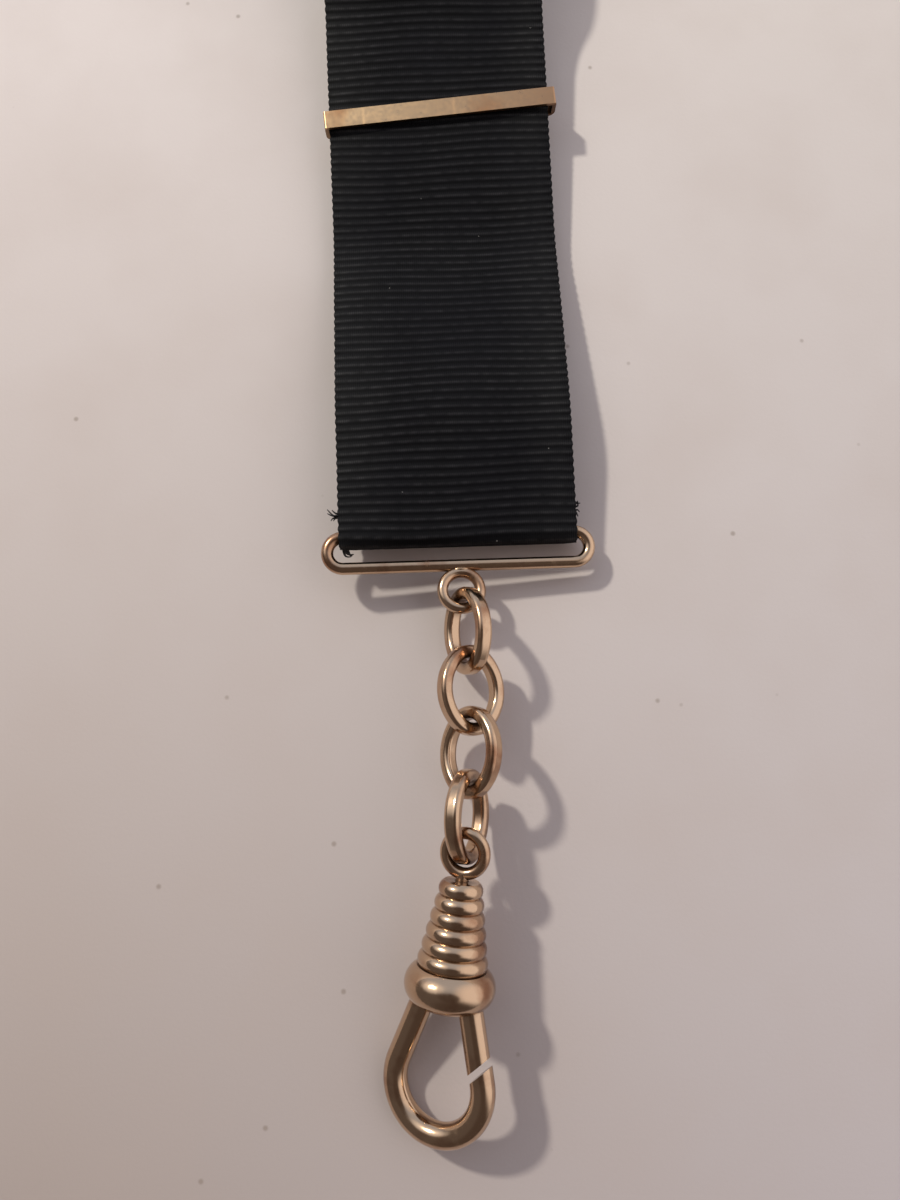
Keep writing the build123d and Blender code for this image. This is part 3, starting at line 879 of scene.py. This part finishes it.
# %% Gilt materials
SHELTER_REACH = 1.3 * MM
SHELTERED, OPEN = 0.3, 0.8            # the occlusion where the painted shade is deepest, and where it ends
HOLLOW_SHADE = srgb(74, 50, 36)
HOLLOW_SHADE_SHARE = 0.8
SCRATCH_SCALE = 650.0
SCRATCH_DEPTH = 0.02 * MM
TARNISH_ROUGHNESS, SCRATCH_ROUGHNESS, HOLLOW_ROUGHNESS = 0.1, 0.2, 0.2


def gilt(name, bright, dull, shine, patch_size, spread, scratch):
    """A worn metal: two tones in patches, a roughness, hair scratches, and painted shade in
    hollows.
    """
    material, tree, shader = new_material(name)
    age = use_group(tree, tarnish, Patch_Size=patch_size, Spread=spread)
    wear = use_group(tree, scratches, Scale=SCRATCH_SCALE, Amount=scratch)
    tone = blended(tree, age.outputs["Mask"], bright, dull)
    # Painted shade: the colour is darkened and browned where ambient occlusion is low, in hollows
    # and where parts touch.
    shelter = add(tree, "AmbientOcclusion", {"Distance": SHELTER_REACH}, samples=8).outputs["AO"]
    hollow_shade = ranged(tree, shelter, SHELTERED, OPEN, HOLLOW_SHADE_SHARE, 0.0)
    tree.links.new(blended(tree, hollow_shade, tone, HOLLOW_SHADE), shader.inputs["Base Color"])
    rough = ranged(tree, age.outputs["Fine"], 0.3, 0.7, shine * 0.8, shine * 1.25)
    for mask, more in (
        (age.outputs["Mask"], TARNISH_ROUGHNESS),
        (wear.outputs["Mask"], SCRATCH_ROUGHNESS),
        (hollow_shade, HOLLOW_ROUGHNESS),
    ):
        rough = combined(tree, "ADD", rough, combined(tree, "MULTIPLY", mask, more))
    tree.links.new(rough, shader.inputs["Roughness"])
    fine_height = combined(tree, "MULTIPLY", age.outputs["Fine"], 0.3)
    height = combined(tree, "ADD", wear.outputs["Height"], fine_height)
    roughen(tree, shader, height, 0.25, SCRATCH_DEPTH)
    set_numbers(shader, Metallic=1.0, Coat_Weight=0.3, Coat_Roughness=0.06)
    return material


rose_gilt = gilt(
    "rose_gilt", bright=srgb(202, 172, 142), dull=srgb(156, 114, 86),
    shine=0.15, patch_size=260.0, spread=0.5, scratch=0.4,
)
paint([
    "wire_ring", "ring_eye", "chain_link_1", "chain_link_2", "chain_link_3", "chain_link_4",
    "swivel_eye", "stem_washer", "ribbed_cone", "bead_collar", "hook_arm", "gate_arm",
], rose_gilt)
print("rose gilt has", len(rose_gilt.node_tree.nodes), "nodes")

# %% [markdown]
# The keeper is plainer and yellower. Its face gets a painted shade, browner and darker toward the
# right end, and its side walls and back get a darker painted shade still.

# %% Keeper metal
RIGHT_END_SHADE = srgb(168, 124, 92)
RIGHT_END_SHADE_FROM, RIGHT_END_SHADE_TO, RIGHT_END_SHADE_SHARE = -11 * MM, 13 * MM, 0.75
SIDE_WALL_SHADE = srgb(104, 74, 52)
SIDE_WALL_SHADE_SHARE = 0.85
SIDE_WALL_SHADE_DEPTH = (0.6 * MM, 0.25 * MM)

pale_gilt = gilt(
    "pale_gilt", bright=srgb(232, 196, 150), dull=srgb(190, 146, 106),
    shine=0.34, patch_size=160.0, spread=0.5, scratch=0.7,
)
tree = pale_gilt.node_tree
base_colour = first_node(tree, "BSDF_PRINCIPLED").inputs["Base Color"]
tone = base_colour.links[0].from_socket
spot = add(tree, "SeparateXYZ", {"Vector": object_place(tree)})
# Painted shade: the face darkens and browns toward the right end, the side away from the window.
right_end_shade = ranged(tree, spot.outputs["X"], RIGHT_END_SHADE_FROM, RIGHT_END_SHADE_TO, 0.0, RIGHT_END_SHADE_SHARE)
tone = blended(tree, right_end_shade, tone, RIGHT_END_SHADE)
keeper_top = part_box("slide_keeper")[1][2]
side_wall_shade_z, shade_free_z = (keeper_top - depth for depth in SIDE_WALL_SHADE_DEPTH)
# Painted shade on the side walls and back, which lie below the keeper's lit face.
side_wall_shade = ranged(tree, spot.outputs["Z"], side_wall_shade_z, shade_free_z, SIDE_WALL_SHADE_SHARE, 0.0)
tone = blended(tree, side_wall_shade, tone, SIDE_WALL_SHADE)
tree.links.new(tone, base_colour)
paint(["slide_keeper"], pale_gilt)
# The height printed here is where the painted shade on the walls ends.
print("keeper is polished above z =", round(shade_free_z / MM, 2), "mm")

# %% [markdown]
# The eye is soldered to the ring's lower bar, over the seam where the ring's own wire meets. The
# solder ran a little way along the bar and up the eye. A ball pinched towards its two ends and
# flattened by scaling, with a slow unevenness, gives that lump.

# %% Solder
SOLDER_SIZE = Vector((0.95, 0.52, 0.6)) * MM
SOLDER_OUT = 0.55 * MM
SOLDER_X = 0.05 * MM
SOLDER_PINCH = 0.35
EYE_LIFT = radians(8.0)


def lumpiness(place):
    """How far the solder swells or shrinks at a place on the ball."""
    slow = 0.06 * sin(5.1 * place.x + 1.3) * cos(4.3 * place.z)
    return 1 + slow + 0.04 * sin(9.0 * place.y + 0.4)


bm = bmesh.new()
bmesh.ops.create_icosphere(bm, subdivisions=4, radius=1.0)
for vert in bm.verts:
    pinch = 1 - SOLDER_PINCH * abs(vert.co.x) ** 2
    pinched = Vector((vert.co.x, vert.co.y * pinch, vert.co.z * pinch))
    vert.co = pinched * lumpiness(vert.co)
bmesh.ops.scale(bm, vec=SOLDER_SIZE, verts=bm.verts)
solder_at = Vector((SOLDER_X, -cos(EYE_LIFT) * SOLDER_OUT, sin(EYE_LIFT) * SOLDER_OUT))
solder_at += Vector((0, ring_low.y + RING_WIRE_R, RING_Z))
bmesh.ops.translate(bm, vec=solder_at, verts=bm.verts)
solder_mesh = finished_mesh(bm, "solder", smooth=True)
solder = new_object("solder", solder_mesh)
solder_mesh.materials.append(gilt(
    "solder_gilt", bright=srgb(190, 158, 124), dull=srgb(122, 88, 66),
    shine=0.24, patch_size=700.0, spread=0.6, scratch=0.3,
))
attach(solder, "ring")
print("solder at", [round(value / MM, 2) for value in solder_at])

# %% [markdown]
# The gate's pin and spring are steel. The same function makes it, with grey tones.

# %% Steel
steel = gilt(
    "spring_steel", bright=srgb(168, 168, 170), dull=srgb(104, 96, 90),
    shine=0.3, patch_size=500.0, spread=0.6, scratch=0.4,
)
paint(["gate_pin", "gate_spring"], steel)
print("steel has", len(steel.node_tree.nodes), "nodes")
